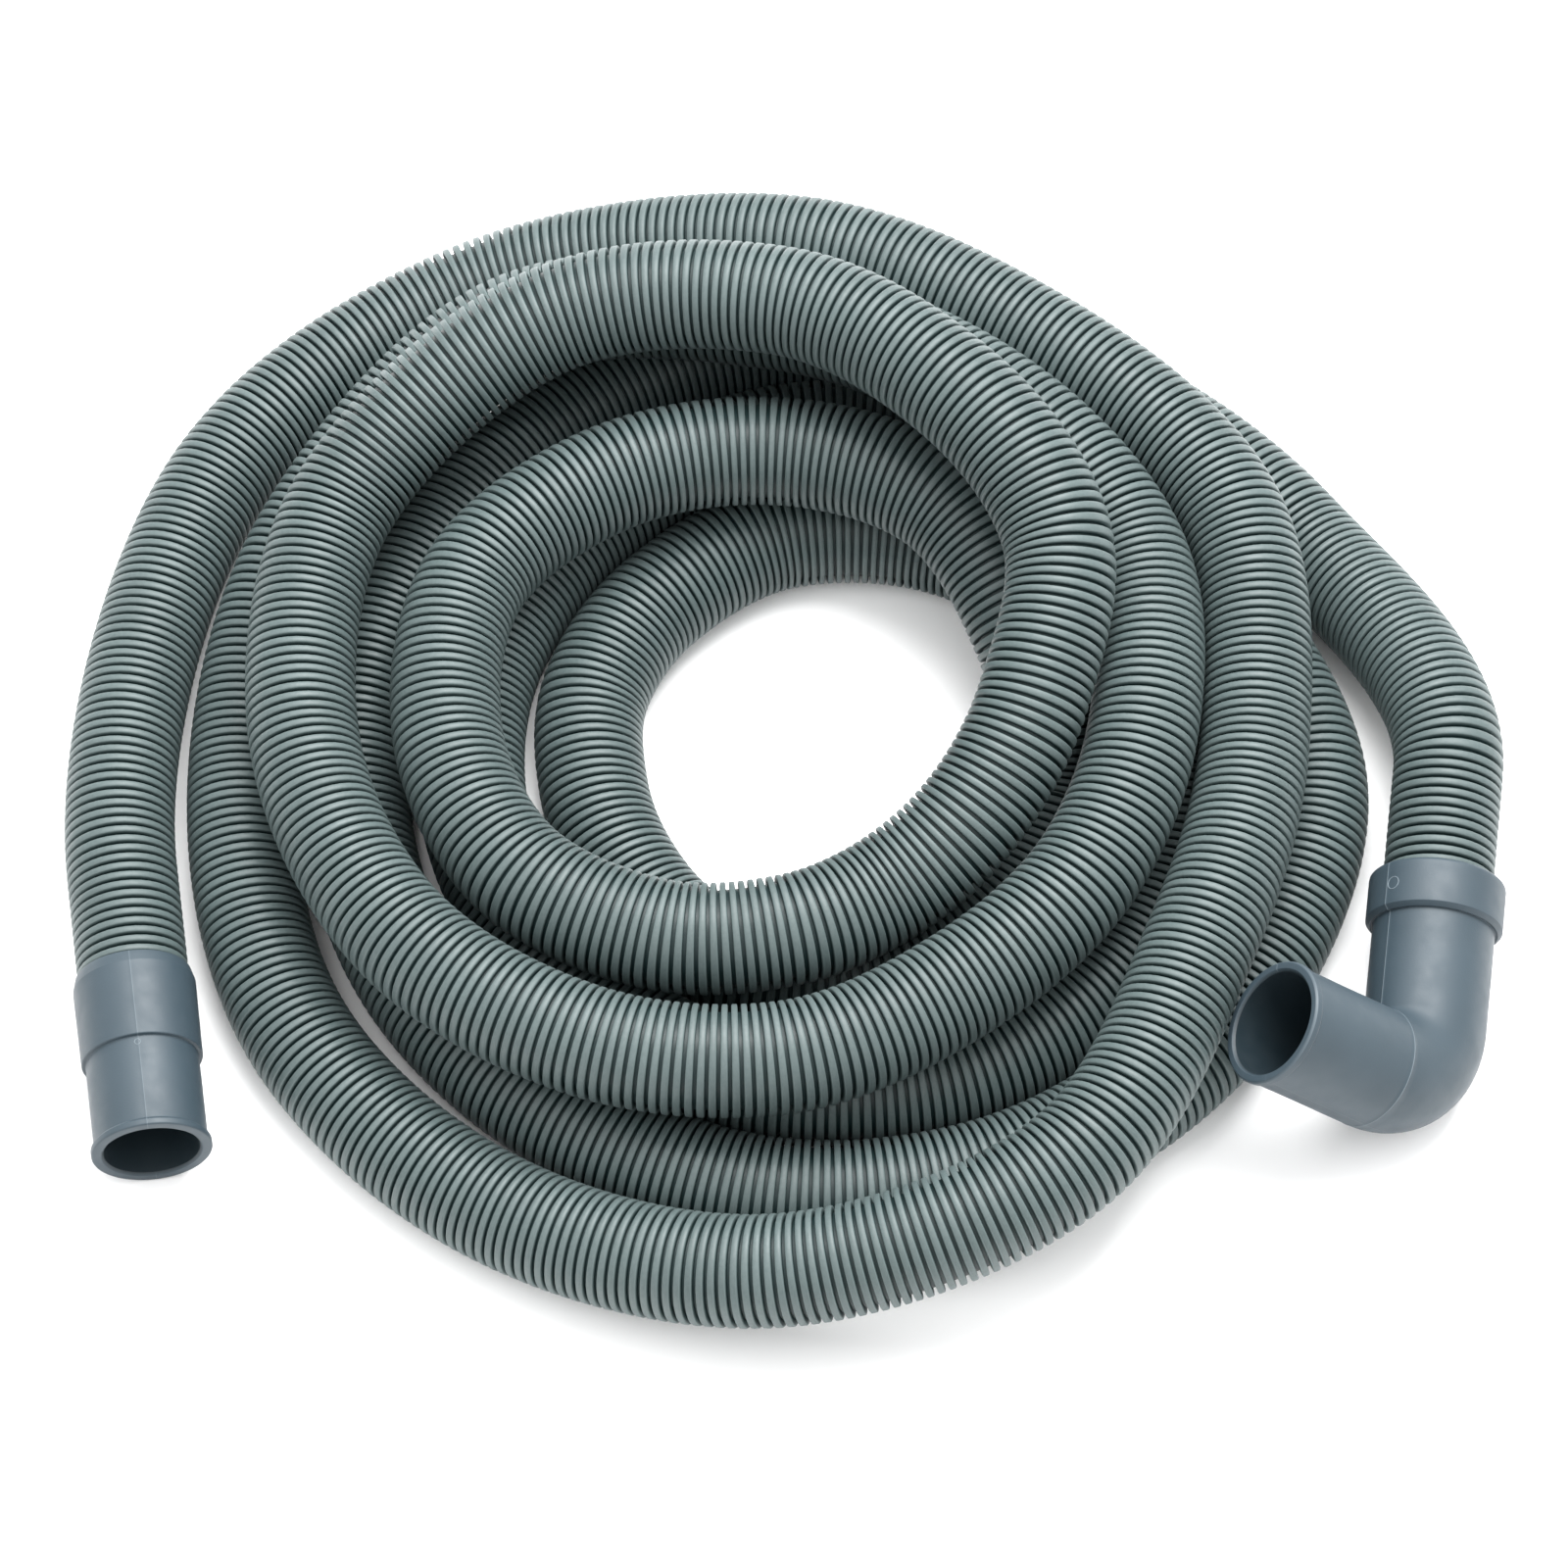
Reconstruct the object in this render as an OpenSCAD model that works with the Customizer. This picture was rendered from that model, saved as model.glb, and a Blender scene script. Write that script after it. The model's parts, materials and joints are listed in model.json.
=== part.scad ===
// Sewer hose kit: a corrugated drain hose lying in a loose coil, with a straight
// push-on cuff at one end and a swivelling 90 degree elbow at the other.
// Millimetres, +Z up, resting on z = 0, origin under the middle of the whole kit.

/* [Hose] */
// Outer diameter over the ribs
hose_od = 34; // [30:0.5:34]
// Height of a rib above the grooves
rib_height = 2.4; // [1.5:0.1:3]
// Distance from rib to rib
rib_pitch = 3.2; // [3:0.1:4.5]
// Flat top of a rib, along the hose
rib_top = 1.4; // [1:0.1:1.6]
// Rounding of a rib's two edges
rib_shoulder = 0.3; // [0.1:0.05:0.4]
// Length along the hose over which a rib's side slopes into the groove
rib_slope = 0.15; // [0.05:0.05:0.25]
// Thickness of the hose's wall under a groove
hose_wall = 0.6; // [0.4:0.1:1]
// Ribs that show between a fitting and the coil
ribs_shown = 1; // [1:1:4]

/* [Coil] */
// Ribs along the coiled length
coil_ribs = 200; // [120:1:200]
// Steps of the bore along the coiled length
bore_steps = 156; // [140:1:170]
// Cover over the faceted bore under a groove, which shrinks on the inside of a bend
bore_cover = 3.6; // [3.4:0.2:6]

/* [Fittings] */
// Ribs of hose that sit inside a fitting
ribs_in_socket = 7; // [5:1:8]
// Running clearance between the hose and a socket
socket_gap = 0.3; // [0.2:0.05:0.5]
// Clearance along the hose at each side of a grip ring
grip_gap = 0.25; // [0.15:0.05:0.3]
// Rounding of a collar's outer edge at the hose side
edge_round = 1.5; // [0.5:0.1:2]

/* [Straight cuff] */
// Wall of the cuff's collar around its socket
cuff_collar_wall = 1.4; // [1:0.1:4]
// Length of the cuff's collar
cuff_collar_len = 29; // [25:1:36]
// Bore at the cuff's mouth
cuff_bore = 29; // [26:0.5:31]
// Wall of the cuff's spigot
cuff_spigot_wall = 2.7; // [2:0.1:3.5]
// Length of the cuff from hose side to mouth
cuff_len = 60; // [50:1:80]
// How far the lip at the mouth stands proud of the spigot
cuff_lip_height = 0.8; // [0.4:0.1:1.2]
// Length of the lip at the mouth
cuff_lip_len = 2.6; // [2:0.1:4]

/* [Elbow] */
// Wall of the elbow's collar around its socket
elbow_collar_wall = 3.7; // [2.5:0.1:6]
// Length of the elbow's collar
elbow_collar_len = 17; // [12:1:24]
// Wall of the elbow's leg around its socket
elbow_leg_wall = 1.4; // [1:0.1:2.2]
// Wall of the elbow past its socket
elbow_wall = 2.5; // [2:0.1:4]
// Inner radius of the bend, in the crotch between leg and arm
crotch_radius = 1.3; // [0.5:0.1:8]
// Length from the collar's face to the corner of the two axes
elbow_leg = 68; // [60:1:80]
// Length from that corner to the mouth
elbow_arm = 62; // [54:1:80]
// How far the rim at the mouth stands proud of the arm
elbow_rim_height = 0.6; // [0.3:0.1:2]
// Length of the rim at the mouth
elbow_rim_len = 3; // [2:0.5:6]
// Chamfer inside both mouths
mouth_chamfer = 0.8; // [0.3:0.1:1.2]

/* [Hidden] */
$fn = 96;

hose_grey = "#7d8f8c";
fitting_grey = "#77838e";

// ---- hose ----
hose_r = hose_od / 2;
groove_r = hose_r - rib_height;
bore_r = groove_r - hose_wall;
rib_base = rib_top + 2 * rib_shoulder + 2 * rib_slope;
groove_len = rib_pitch - rib_base;
// Hose held in a socket, from the stop to the collar's face
hold_len = ribs_in_socket * rib_pitch;
// Hose that shows between a fitting and the coil
shown_len = ribs_shown * rib_pitch;

// ---- radii of the fittings, all from the hose they hold ----
socket_r = hose_r + socket_gap;
cuff_collar_r = socket_r + cuff_collar_wall;
cuff_spigot_r = cuff_bore / 2 + cuff_spigot_wall;
elbow_collar_r = socket_r + elbow_collar_wall;
elbow_r = socket_r + elbow_leg_wall;
elbow_bore_r = elbow_r - elbow_wall;
bend_radius = elbow_r + crotch_radius;

// ---- where the two hose ends leave their fittings ----
// Turn of the cuff's axis about Z, its mouth swung out to the right
cuff_yaw = 8;
cuff_seat = [-198, -76, cuff_collar_r];
// Turn of the elbow's axis about Z, and how far it dips towards the bend
elbow_yaw = -7;
elbow_dip = 6;
// Rise of the elbow's arm from level, turned about the hose end's axis
elbow_roll = 41;
// Rise of the arm per millimetre, for the height at which the bend rests on z = 0
arm_rise = sin(elbow_roll) * cos(elbow_dip);
bend_rest = elbow_r + bend_radius * (norm([arm_rise, sin(elbow_dip)]) - arm_rise);
elbow_seat = [200, -46, bend_rest + (elbow_leg - bend_radius) * sin(elbow_dip)];

// Unit vector from the hose into a fitting with this yaw and dip
function into_fitting(yaw, dip) = [sin(yaw) * cos(dip), -cos(yaw) * cos(dip), -sin(dip)];
cuff_dir = into_fitting(cuff_yaw, 0);
elbow_dir = into_fitting(elbow_yaw, elbow_dip);

// ---- route of the coil ----
// Height of the centreline where the hose lies on the ground, pressed flat by a tenth of its diameter
lie_height = 0.4 * hose_od;
// The turns go clockwise from the left, with one station every 30 degrees, the first at 30.
// Each station is [distance from the turns' middle, lift above lying on the ground].
station_angle = 30;
turns_middle = [0, -6];
stations = [
    [211, 1], [205, 7], [181, 31], [162, 37], [159, 36], [144, 34],
    [145, 35], [169, 32], [174, 16], [170, 2], [171, 0],
    [168, 0], [173, 8], [173, 31], [146, 43], [129, 49], [123, 43],
    [110, 44], [105, 40], [103, 35], [113, 35], [123, 35], [136, 35],
    [147, 35], [158, 40], [150, 64], [130, 76], [108, 79], [96, 70],
    [76, 58], [67, 46], [64, 36], [70, 35], [81, 34], [95, 35],
    [103, 35], [110, 35], [106, 35], [101, 35], [96, 35], [86, 24],
    [86, 2], [80, 0], [72, 0], [66, 0], [61, 0], [57, 0],
    [59, 0], [68, 0], [78, 0], [92, 0], [103, 0], [114, 0],
    [128, 0], [122, 0], [114, 0], [105, 0], [97, 0], [94, 0],
    [97, 0], [104, 0], [114, 0], [129, 0], [139, 0], [150, 0],
    [164, 0], [157, 0], [149, 0], [141, 0], [133, 0], [132, 0],
    [133, 0], [139, 0], [150, 0], [165, 0], [175, 0], [186, 0]
];
function station_point(i) =
    let(a = station_angle * (i + 1), s = stations[i])
    [turns_middle.x - s[0] * cos(a), turns_middle.y + s[0] * sin(a), lie_height + s[1]];

// The route runs straight for one hose diameter at each end, then through the stations
cuff_end = cuff_seat - shown_len * cuff_dir;
elbow_end = elbow_seat - shown_len * elbow_dir;
route = concat(
    [cuff_end, cuff_end - hose_od * cuff_dir],
    [for (i = [0:len(stations) - 1]) station_point(i)],
    [elbow_end - hose_od * elbow_dir, elbow_end]
);
last = len(route) - 1;

// Share of the next span that the curve keeps its end's direction for
end_pull = 0.9;
// Direction of the curve at route point i, level wherever the hose lies on the ground
function lies_on_ground(i) = i > 1 && i < last - 1 && stations[i - 2][1] == 0;
function route_pull(i) =
    i == 0 ? route[1] - route[0]
    : i == last ? route[last] - route[last - 1]
    : i == 1 ? -cuff_dir * norm(route[2] - route[1]) * end_pull
    : i == last - 1 ? elbow_dir * norm(route[last - 1] - route[last - 2]) * end_pull
    : let(d = (route[i + 1] - route[i - 1]) / 2) [d.x, d.y, lies_on_ground(i) ? 0 : d.z];
pulls = [for (i = [0:last]) route_pull(i)];

// Point and direction of the smooth route at u, where u counts the route's points
function is_straight(i) = i == 0 || i == last - 1;
function route_at(u) =
    let(
        i = min(floor(u), last - 1), t = u - i, t2 = t * t, t3 = t2 * t,
        p = is_straight(i) ? route[i] + t * (route[i + 1] - route[i])
            : (2 * t3 - 3 * t2 + 1) * route[i] + (t3 - 2 * t2 + t) * pulls[i]
            + (3 * t2 - 2 * t3) * route[i + 1] + (t3 - t2) * pulls[i + 1]
    )
    [p.x, p.y, max(p.z, lie_height)];
function route_heading(u) =
    let(
        i = min(floor(u), last - 1), t = u - i, t2 = t * t,
        d = is_straight(i) ? route[i + 1] - route[i]
            : (6 * t2 - 6 * t) * (route[i] - route[i + 1])
            + (3 * t2 - 4 * t + 1) * pulls[i] + (3 * t2 - 2 * t) * pulls[i + 1]
    )
    d / norm(d);

// Length along the route against u, for rings that are evenly spaced
substeps = 8;
route_points = [for (k = [0:last * substeps]) route_at(k / substeps)];
length_table = [
    for (k = 0, s = 0; k <= last * substeps;
         s = s + (k < last * substeps ? norm(route_points[k + 1] - route_points[k]) : 0), k = k + 1)
    [s, k / substeps]
];
coil_len = length_table[len(length_table) - 1][0];

// ---- coil as a ribbed tube with its bore ----
coil_sides = 8;
function ring(u, r) =
    let(c = route_at(u), t = route_heading(u), side = cross([0, 0, 1], t),
        across = side / norm(side), up = cross(t, across))
    [for (k = [0:coil_sides - 1])
        let(a = (k + 0.5) * 360 / coil_sides, p = c + r * (cos(a) * across + sin(a) * up))
        [p.x, p.y, max(p.z, 0)]];
rib_rings = [for (k = [0:2 * coil_ribs])
    ring(lookup(coil_len * k / (2 * coil_ribs), length_table), k % 2 == 0 ? hose_r : groove_r)];
bore_rings = [for (k = [0:bore_steps]) ring(last * k / bore_steps, groove_r - bore_cover)];

// Triangles between ring k and the next, for rings whose points start at base
function tube_faces(base, rings, flip) = [
    for (k = [0:rings - 2], j = [0:coil_sides - 1])
    let(
        a = base + k * coil_sides + j, b = base + k * coil_sides + (j + 1) % coil_sides,
        c = a + coil_sides, d = b + coil_sides
    )
    each (flip ? [[a, b, d], [a, d, c]] : [[a, d, b], [a, c, d]])
];
// Triangles of the flat ring between the outer points and the bore's points at one end
function end_faces(outer, inner, flip) = [
    for (j = [0:coil_sides - 1])
    let(n = (j + 1) % coil_sides, a = outer + j, b = outer + n, c = inner + j, d = inner + n)
    each (flip ? [[a, d, b], [a, c, d]] : [[a, b, d], [a, d, c]])
];

// Least distance from the coil's surface to itself, measured between stretches that lie
// further apart along the hose than the length given here
apart_along = 3 * hose_od;
probe_points = [for (k = [0:coil_ribs * 2]) route_at(lookup(coil_len * k / (2 * coil_ribs), length_table))];
probe_step = coil_len / (2 * coil_ribs);
skip = ceil(apart_along / probe_step);
function to_span(p, a, b) =
    let(d = b - a, t = min(1, max(0, (p - a) * d / (d * d)))) norm(p - a - t * d);
self_gap = min([
    for (i = [0:len(probe_points) - skip - 2], j = [i + skip:len(probe_points) - 2])
    if (norm(probe_points[i] - probe_points[j]) < 2 * hose_od)
    to_span(probe_points[i], probe_points[j], probe_points[j + 1])
]) - hose_od;
echo(str("coil length ", round(coil_len), " mm, least gap to itself ", self_gap, " mm"));

module hose_coil() {
    outer_points = len(rib_rings) * coil_sides;
    bore_points = len(bore_rings) * coil_sides;
    color(hose_grey)
    polyhedron(
        points = concat([for (r = rib_rings) each r], [for (r = bore_rings) each r]),
        faces = concat(
            tube_faces(0, len(rib_rings), false),
            tube_faces(outer_points, len(bore_rings), true),
            end_faces(0, outer_points, false),
            end_faces(outer_points - coil_sides, outer_points + bore_points - coil_sides, true)
        ),
        convexity = 20
    );
}

// ---- straight ends of the hose, true revolves ----
// z runs from the hose's end at 0, which seats against the fitting's stop
module hose_end() {
    ribs = ribs_in_socket + ribs_shown;
    end_len = ribs * rib_pitch;
    color(hose_grey)
    rotate_extrude()
    difference() {
        polygon(concat(
            [[0, 0], [groove_r, 0]],
            [for (k = [0:ribs - 1])
                let(low = k * rib_pitch + groove_len / 2, high = low + rib_base) each [
                    [groove_r, low], [hose_r - rib_shoulder, low + rib_slope],
                    [hose_r, low + rib_slope + rib_shoulder],
                    [hose_r, high - rib_slope - rib_shoulder],
                    [hose_r - rib_shoulder, high - rib_slope], [groove_r, high]
                ]],
            [[groove_r, end_len], [0, end_len]]
        ));
        translate([-1, -1])
        square([bore_r + 1, end_len + 2]);
    }
}

// Puts the children's +Z along the axis that runs from the hose into a fitting
module on_axis(seat, yaw, dip) {
    translate(seat)
    rotate([90 + dip, 0, yaw])
    children();
}

module hose_end_cuff() {
    on_axis(cuff_seat, cuff_yaw, 0)
    translate([0, 0, hold_len])
    mirror([0, 0, 1])
    hose_end();
}

module hose_end_elbow() {
    on_axis(elbow_seat, elbow_yaw, elbow_dip)
    translate([0, 0, hold_len])
    mirror([0, 0, 1])
    hose_end();
}

// ---- sockets of the two fittings ----
socket_len = hold_len + socket_gap;
// Rings inside the socket that stand in the hose's grooves and hold it
grip_grooves = [2, 4];
grip_len = groove_len - 2 * grip_gap;
grip_r = groove_r + rib_height / 2;
// Middle of groove k, from the collar's face
function groove_at(k) = hold_len - k * rib_pitch;

// Hollow of a socket as a half profile, from the collar's face at z = 0 to the stop
module socket_profile() {
    difference() {
        translate([0, -1])
        square([socket_r, socket_len + 1]);
        for (k = grip_grooves)
            translate([grip_r, groove_at(k) - grip_len / 2])
            square([socket_r, grip_len]);
    }
}

// Half profile of a solid collar from z = 0 to len, rounded at the hose side, chamfered at its foot
module collar_profile(r, len, foot) {
    steps = 6;
    rounding = min(edge_round, 0.8 * (r - socket_r));
    polygon(concat(
        [[0, 0]],
        [for (k = [0:steps]) let(a = 90 * k / steps)
            [r - rounding + rounding * sin(a), rounding - rounding * cos(a)]],
        [[r, len - foot], [r - foot, len], [0, len]]
    ));
}

// Half profile of a bore from z = 0 to its mouth at len, with a chamfer inside the mouth
module mouth_profile(r, len) {
    polygon([
        [0, 0], [r, 0], [r, len - mouth_chamfer], [r + mouth_chamfer, len],
        [r + mouth_chamfer, len + 1], [0, len + 1]
    ]);
}

// ---- straight cuff: collar, step, spigot and lip, all one moulding ----
// Chamfer at the collar's lower edge
cuff_step = 0.6;
module cuff_body() {
    lip_r = cuff_spigot_r + cuff_lip_height;
    lip_z = cuff_len - cuff_lip_len;
    rotate_extrude()
    difference() {
        union() {
            collar_profile(cuff_collar_r, cuff_collar_len, cuff_step);
            square([cuff_spigot_r, cuff_len]);
            polygon([
                [0, lip_z], [cuff_spigot_r, lip_z], [lip_r, lip_z + cuff_lip_height],
                [lip_r, cuff_len - cuff_lip_height / 2],
                [lip_r - cuff_lip_height / 2, cuff_len], [0, cuff_len]
            ]);
        }
        socket_profile();
        mouth_profile(cuff_bore / 2, cuff_len);
    }
}

module straight_cuff() {
    color(fitting_grey)
    on_axis(cuff_seat, cuff_yaw, 0)
    cuff_body();
}

// ---- elbow: collar and leg, a tight quarter bend, and the arm with its rim ----
// Chamfer at the collar's lower edge
elbow_foot = 1.4;
// Places the children where the bend ends, with +Z along the arm
module on_arm() {
    translate([0, 0, elbow_leg])
    rotate([0, 90, 0])
    children();
}
module bend(r) {
    translate([bend_radius, 0, elbow_leg - bend_radius])
    rotate([90, 0, 180])
    rotate_extrude(angle = 90)
    translate([bend_radius, 0])
    circle(r = r);
}
module arm_rim() {
    rim_r = elbow_r + elbow_rim_height;
    translate([0, 0, elbow_arm - elbow_rim_len])
    rotate_extrude()
    polygon([
        [0, 0], [elbow_r, 0], [rim_r, elbow_rim_height],
        [rim_r, elbow_rim_len - elbow_rim_height],
        [elbow_r, elbow_rim_len], [0, elbow_rim_len]
    ]);
}
module elbow_body() {
    straight_leg = elbow_leg - bend_radius;
    difference() {
        union() {
            rotate_extrude()
            collar_profile(elbow_collar_r, elbow_collar_len, elbow_foot);
            cylinder(r = elbow_r, h = straight_leg);
            bend(elbow_r);
            on_arm() {
                translate([0, 0, bend_radius])
                cylinder(r = elbow_r, h = elbow_arm - bend_radius);
                arm_rim();
            }
        }
        rotate_extrude()
        socket_profile();
        translate([0, 0, -1])
        cylinder(r = elbow_bore_r, h = straight_leg + 1);
        bend(elbow_bore_r);
        on_arm()
        translate([0, 0, bend_radius])
        rotate_extrude()
        mouth_profile(elbow_bore_r, elbow_arm - bend_radius);
    }
}

module elbow() {
    color(fitting_grey)
    on_axis(elbow_seat, elbow_yaw, elbow_dip)
    rotate([0, 0, 180 - elbow_roll])
    elbow_body();
}

hose_coil();
hose_end_cuff();
hose_end_elbow();
straight_cuff();
elbow();
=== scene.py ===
"""Sewer hose kit: a corrugated drain hose in a loose coil, with a straight push-on cuff
at one end and a swivelling elbow at the other. Metres, +Z up, resting on z = 0."""

import json
from math import cos, pi, radians, sin, tan

import bmesh
import bpy
import numpy as np
from bpy.props import FloatProperty, FloatVectorProperty, IntProperty, PointerProperty
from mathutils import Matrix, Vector


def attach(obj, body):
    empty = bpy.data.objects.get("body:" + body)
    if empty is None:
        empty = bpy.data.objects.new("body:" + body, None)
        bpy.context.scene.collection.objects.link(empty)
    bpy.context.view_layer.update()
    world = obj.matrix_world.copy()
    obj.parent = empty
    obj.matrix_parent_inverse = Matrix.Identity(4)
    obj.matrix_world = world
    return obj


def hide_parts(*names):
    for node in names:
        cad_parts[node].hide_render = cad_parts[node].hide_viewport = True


bl_info = {
    "name": "Sewer hose kit",
    "version": (1, 0, 0),
    "blender": (4, 5, 0),
    "location": "View3D > Sidebar > Hose kit",
    "description": "Builds a coiled sewer hose with its straight cuff and its elbow",
    "category": "Add Mesh",
}

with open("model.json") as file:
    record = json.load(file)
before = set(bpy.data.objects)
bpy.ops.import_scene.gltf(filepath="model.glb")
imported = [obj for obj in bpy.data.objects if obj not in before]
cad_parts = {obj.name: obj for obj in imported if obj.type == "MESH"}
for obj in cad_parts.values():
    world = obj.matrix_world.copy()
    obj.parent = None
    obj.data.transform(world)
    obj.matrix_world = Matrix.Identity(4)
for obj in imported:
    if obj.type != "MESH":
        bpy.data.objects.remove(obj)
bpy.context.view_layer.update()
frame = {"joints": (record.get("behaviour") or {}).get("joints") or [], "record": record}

MM = 0.001
JOINTS = {joint["name"]: joint for joint in frame["joints"]}
MOUNTS = {mount["name"]: mount for mount in frame["record"]["mounts"]}

# The coil goes clockwise from the left, one station every 30 degrees, the first at 30.
# Each station is (distance from the turns' middle, lift above lying on the ground).
STATION_ANGLE = radians(30)
TURNS_MIDDLE = (0.0, -0.006)
STATIONS = (
    (0.211, 0.001), (0.205, 0.007), (0.181, 0.031), (0.162, 0.037), (0.159, 0.036), (0.144, 0.034),
    (0.145, 0.035), (0.169, 0.032), (0.174, 0.016), (0.170, 0.002), (0.171, 0.000),
    (0.168, 0.000), (0.173, 0.008), (0.173, 0.031), (0.146, 0.043), (0.129, 0.049), (0.123, 0.043),
    (0.110, 0.044), (0.105, 0.040), (0.103, 0.035), (0.113, 0.035), (0.123, 0.035), (0.136, 0.035),
    (0.147, 0.035), (0.158, 0.040), (0.150, 0.064), (0.130, 0.076), (0.108, 0.079), (0.096, 0.070),
    (0.076, 0.058), (0.067, 0.046), (0.064, 0.036), (0.070, 0.035), (0.081, 0.034), (0.095, 0.035),
    (0.103, 0.035), (0.110, 0.035), (0.106, 0.035), (0.101, 0.035), (0.096, 0.035), (0.086, 0.024),
    (0.086, 0.002), (0.080, 0.000), (0.072, 0.000), (0.066, 0.000), (0.061, 0.000), (0.057, 0.000),
    (0.059, 0.000), (0.068, 0.000), (0.078, 0.000), (0.092, 0.000), (0.103, 0.000), (0.114, 0.000),
    (0.128, 0.000), (0.122, 0.000), (0.114, 0.000), (0.105, 0.000), (0.097, 0.000), (0.094, 0.000),
    (0.097, 0.000), (0.104, 0.000), (0.114, 0.000), (0.129, 0.000), (0.139, 0.000), (0.150, 0.000),
    (0.164, 0.000), (0.157, 0.000), (0.149, 0.000), (0.141, 0.000), (0.133, 0.000), (0.132, 0.000),
    (0.133, 0.000), (0.139, 0.000), (0.150, 0.000), (0.165, 0.000), (0.175, 0.000), (0.186, 0.000),
)
# Share of the next span over which the curve keeps the direction of a straight end
END_PULL = 0.9
# Points of the curve from one station to the next
SPAN_POINTS = 256
# Spacing of the points on a stretch's path, and of those given as the cord's route
PATH_STEP = 0.4 * MM


def linear(hex_code):
    """Linear RGB of an sRGB hex colour."""
    shares = [int(hex_code[i:i + 2], 16) / 255 for i in (1, 3, 5)]
    return tuple(s / 12.92 if s <= 0.04045 else ((s + 0.055) / 1.055) ** 2.4 for s in shares)


def length_prop(name, description, default):
    """A length in metres, given here in millimetres."""
    return FloatProperty(
        name=name, description=description, default=default * MM, unit="LENGTH", precision=5
    )


def colour_prop(name, description, hex_code):
    """A colour, given here as an sRGB hex value."""
    return FloatVectorProperty(
        name=name, description=description, default=linear(hex_code), subtype="COLOR",
        size=3, min=0, max=1,
    )


class HoseSizes(bpy.types.PropertyGroup):
    """Sizes of the corrugated hose."""

    diameter: length_prop("Diameter", "Outer diameter over the ribs", 34)
    rib_pitch: length_prop("Rib pitch", "Distance from rib to rib", 3.2)
    rib_base: length_prop("Rib base", "Length of a rib along the hose, at its foot", 2.15)
    rib_height: length_prop("Rib height", "Height of a rib above the grooves", 2.4)
    wall: length_prop("Wall", "Thickness of the wall under a groove", 0.6)
    held_ribs: IntProperty(name="Held ribs", description="Ribs inside each fitting", default=7)
    shown_ribs: IntProperty(
        name="Shown ribs", description="Straight ribs between a fitting and the coil", default=1
    )
    pressed: FloatProperty(
        name="Pressed", description="Share of the diameter that is pressed flat on the ground",
        default=0.1, subtype="FACTOR",
    )
    sides: IntProperty(name="Sides", description="Faces around the hose", default=36)
    stretches: IntProperty(
        name="Stretches", description="Lengths that the coil is divided into", default=7
    )


class CuffSizes(bpy.types.PropertyGroup):
    """Sizes of the straight cuff."""

    collar_radius: length_prop("Collar radius", "Outer radius of the collar at its cone", 18.7)
    collar_length: length_prop("Collar length", "From the hose side to the step", 29)
    draft: length_prop("Draft", "How much narrower the collar is at the step", 0.3)
    shoulder: length_prop("Shoulder", "Length of the collar's cone at the hose side", 3.8)
    bore_radius: length_prop("Bore radius", "Radius of the bore at the mouth", 14.5)
    spigot_radius: length_prop("Spigot radius", "Outer radius of the spigot", 17.2)
    length: length_prop("Length", "From the hose side to the mouth", 60)
    lip_height: length_prop("Lip height", "How far the lip stands proud of the spigot", 1.1)
    lip_length: length_prop("Lip length", "Length of the lip at the mouth", 2.6)


class ElbowSizes(bpy.types.PropertyGroup):
    """Sizes of the elbow."""

    collar_radius: length_prop("Collar radius", "Outer radius of the collar", 21)
    collar_length: length_prop("Collar length", "From the collar's face to its foot", 16)
    pipe_radius: length_prop("Pipe radius", "Outer radius of leg and arm", 18.7)
    bore_radius: length_prop("Bore radius", "Radius of the bore past the socket", 16.2)
    bend_radius: length_prop("Bend radius", "Radius of the bend at the pipe's axis", 20)
    leg: length_prop("Leg", "From the collar's face to the corner of the axes", 68)
    arm: length_prop("Arm", "From the corner of the axes to the mouth", 62)
    rim_height: length_prop("Rim height", "How far the rim stands proud of the arm", 0.6)
    rim_length: length_prop("Rim length", "Length of the rim at the mouth", 3)


class FittingSizes(bpy.types.PropertyGroup):
    """Sizes that both fittings share."""

    socket_radius: length_prop("Socket radius", "Radius of a socket around the hose", 17.3)
    socket_length: length_prop("Socket length", "From the collar's face to the stop", 22.7)
    grip_radius: length_prop("Grip radius", "Inner radius of the grip rings", 15.8)
    grip_length: length_prop("Grip length", "Length of a grip ring", 0.4)
    mouth_bevel: length_prop("Mouth bevel", "Bevel inside a mouth", 0.8)
    seam_height: length_prop("Seam height", "Height of the parting line's ridge", 0.1)
    seam_width: length_prop("Seam width", "Width of the parting line's ridge", 0.36)


class Finishes(bpy.types.PropertyGroup):
    """Colours of the materials."""

    hose_crest: colour_prop("Hose crest", "Top of the hose's ribs", "#4e5a5a")
    # Painted shade of the grooves and the ribs' sides, also the darker tone for ribs and specks
    hose_dark_tone_and_groove_shade: colour_prop("Hose groove", "Floor of the hose's grooves", "#132a2b")
    fitting: colour_prop("Fitting", "Moulded fittings", "#303d45")
    # Painted shade: the dark colour of the fittings' bores
    fitting_bore_shade: colour_prop("Fitting bore", "Inside of the moulded fittings", "#18242a")
    fitting_seam: colour_prop("Fitting seam", "Flash along the parting lines", "#87939a")


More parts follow.
